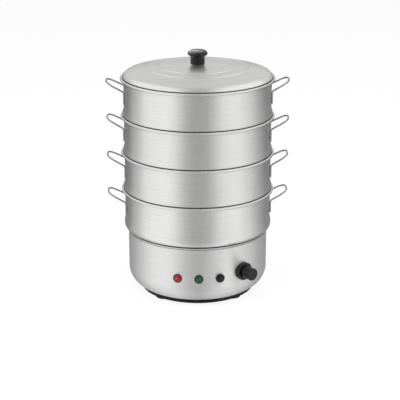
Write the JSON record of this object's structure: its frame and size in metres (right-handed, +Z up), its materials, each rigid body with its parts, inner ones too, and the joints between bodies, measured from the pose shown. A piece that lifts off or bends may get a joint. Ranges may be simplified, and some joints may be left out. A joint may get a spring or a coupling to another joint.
{
  "type": "electric dumpling steamer",
  "caption": "Electric stacking steamer: drum base with a water pan, heating element, thermostat, lamps and reset button, punched steaming tiers with wire handles, and a domed lid.",
  "frame": {"origin": "centre of the footprint at the plane the feet stand on", "axes": "+Z up along the stack's axis, -Y towards the controls, +X to the right of someone facing the controls"},
  "size_m": [0.3724, 0.3136, 0.5039],
  "materials": {
    "aluminium_shell": "satin spun and drawn aluminium",
    "handle_wire": "bright drawn stainless wire",
    "black_plastic": "black moulded phenolic, satin",
    "black_cover": "black stoved paint on pressed steel",
    "foot_rubber": "black moulded rubber",
    "red_lens": "clear red polycarbonate",
    "green_lens": "clear green polycarbonate",
    "plated_steel": "zinc-plated steel",
    "nylon_white": "natural nylon",
    "brass_terminal": "bright brass",
    "heater_sheath": "annealed stainless sheath",
    "silicone_seal": "red silicone rubber",
    "copper_sensor": "bright copper",
    "bulb_glass": "clear glass",
    "lead_insulation": "silicone-insulated lead"
  },
  "bodies": {
    "base": {"base_shell": "aluminium_shell", "water_pan": "aluminium_shell", "bottom_cover": "black_cover", "feet": "foot_rubber", "foot_bolts": "plated_steel", "foot_nuts": "plated_steel", "heater_element": "heater_sheath", "heater_gland_nuts": "brass_terminal", "heater_gaskets": "silicone_seal", "heater_pins": "plated_steel", "red_lamp_lens": "red_lens", "green_lamp_lens": "green_lens", "red_lamp_holder": "nylon_white", "green_lamp_holder": "nylon_white", "lamp_bulbs": "bulb_glass", "lamp_nuts": "nylon_white", "lamp_blades": "brass_terminal", "reset_bezel": "black_plastic", "thermal_cutout": "black_plastic", "reset_spring": "plated_steel", "thermostat_body": "plated_steel", "thermostat_screws": "plated_steel", "sensor_bulb": "copper_sensor", "sensor_clips": "plated_steel", "capillary_tube": "copper_sensor", "inlet_bezel": "black_plastic", "power_inlet": "black_plastic", "inlet_pins": "brass_terminal", "inlet_screws": "plated_steel", "inlet_nuts": "plated_steel", "terminal_block": "nylon_white", "internal_leads": "lead_insulation"},
    "thermostat_knob": {"thermostat_knob": "black_plastic", "thermostat_shaft": "plated_steel"},
    "reset_button": {"reset_button": "black_plastic"},
    "tier_4": {"tier_4_wall": "aluminium_shell", "tier_4_floor": "aluminium_shell", "tier_4_right_handle": "handle_wire", "tier_4_left_handle": "handle_wire"},
    "tier_3": {"tier_3_wall": "aluminium_shell", "tier_3_floor": "aluminium_shell", "tier_3_right_handle": "handle_wire", "tier_3_left_handle": "handle_wire"},
    "tier_2": {"tier_2_wall": "aluminium_shell", "tier_2_floor": "aluminium_shell", "tier_2_right_handle": "handle_wire", "tier_2_left_handle": "handle_wire"},
    "tier_1": {"tier_1_wall": "aluminium_shell", "tier_1_floor": "aluminium_shell", "tier_1_right_handle": "handle_wire", "tier_1_left_handle": "handle_wire"},
    "lid": {"lid_shell": "aluminium_shell", "lid_knob": "black_plastic", "lid_washer": "plated_steel", "lid_bolt": "plated_steel"}
  },
  "joints": [
    {"name": "thermostat_turn", "type": "hinge", "parent": "base", "child": "thermostat_knob", "pos_m": [0.08964, -0.1127, 0.0725], "axis": [-0.6225, 0.7826, 0], "range_deg": [0, 270]},
    {"name": "reset_press", "type": "slide", "parent": "base", "child": "reset_button", "axis": [-0.2965, 0.955, 0], "range_m": [0, 0.002], "stiffness_N_per_m": 500, "springref_m": -0.002, "deforming": ["reset_spring"]},
    {"name": "tier_4_lift", "type": "slide", "parent": "base", "child": "tier_4", "axis": [0, 0, 1], "range_m": [0, 0.1]},
    {"name": "tier_3_lift", "type": "slide", "parent": "tier_4", "child": "tier_3", "axis": [0, 0, 1], "range_m": [0, 0.1]},
    {"name": "tier_2_lift", "type": "slide", "parent": "tier_3", "child": "tier_2", "axis": [0, 0, 1], "range_m": [0, 0.1]},
    {"name": "tier_1_lift", "type": "slide", "parent": "tier_2", "child": "tier_1", "axis": [0, 0, 1], "range_m": [0, 0.1]},
    {"name": "lid_lift", "type": "slide", "parent": "tier_1", "child": "lid", "axis": [0, 0, 1], "range_m": [0, 0.12]}
  ]
}
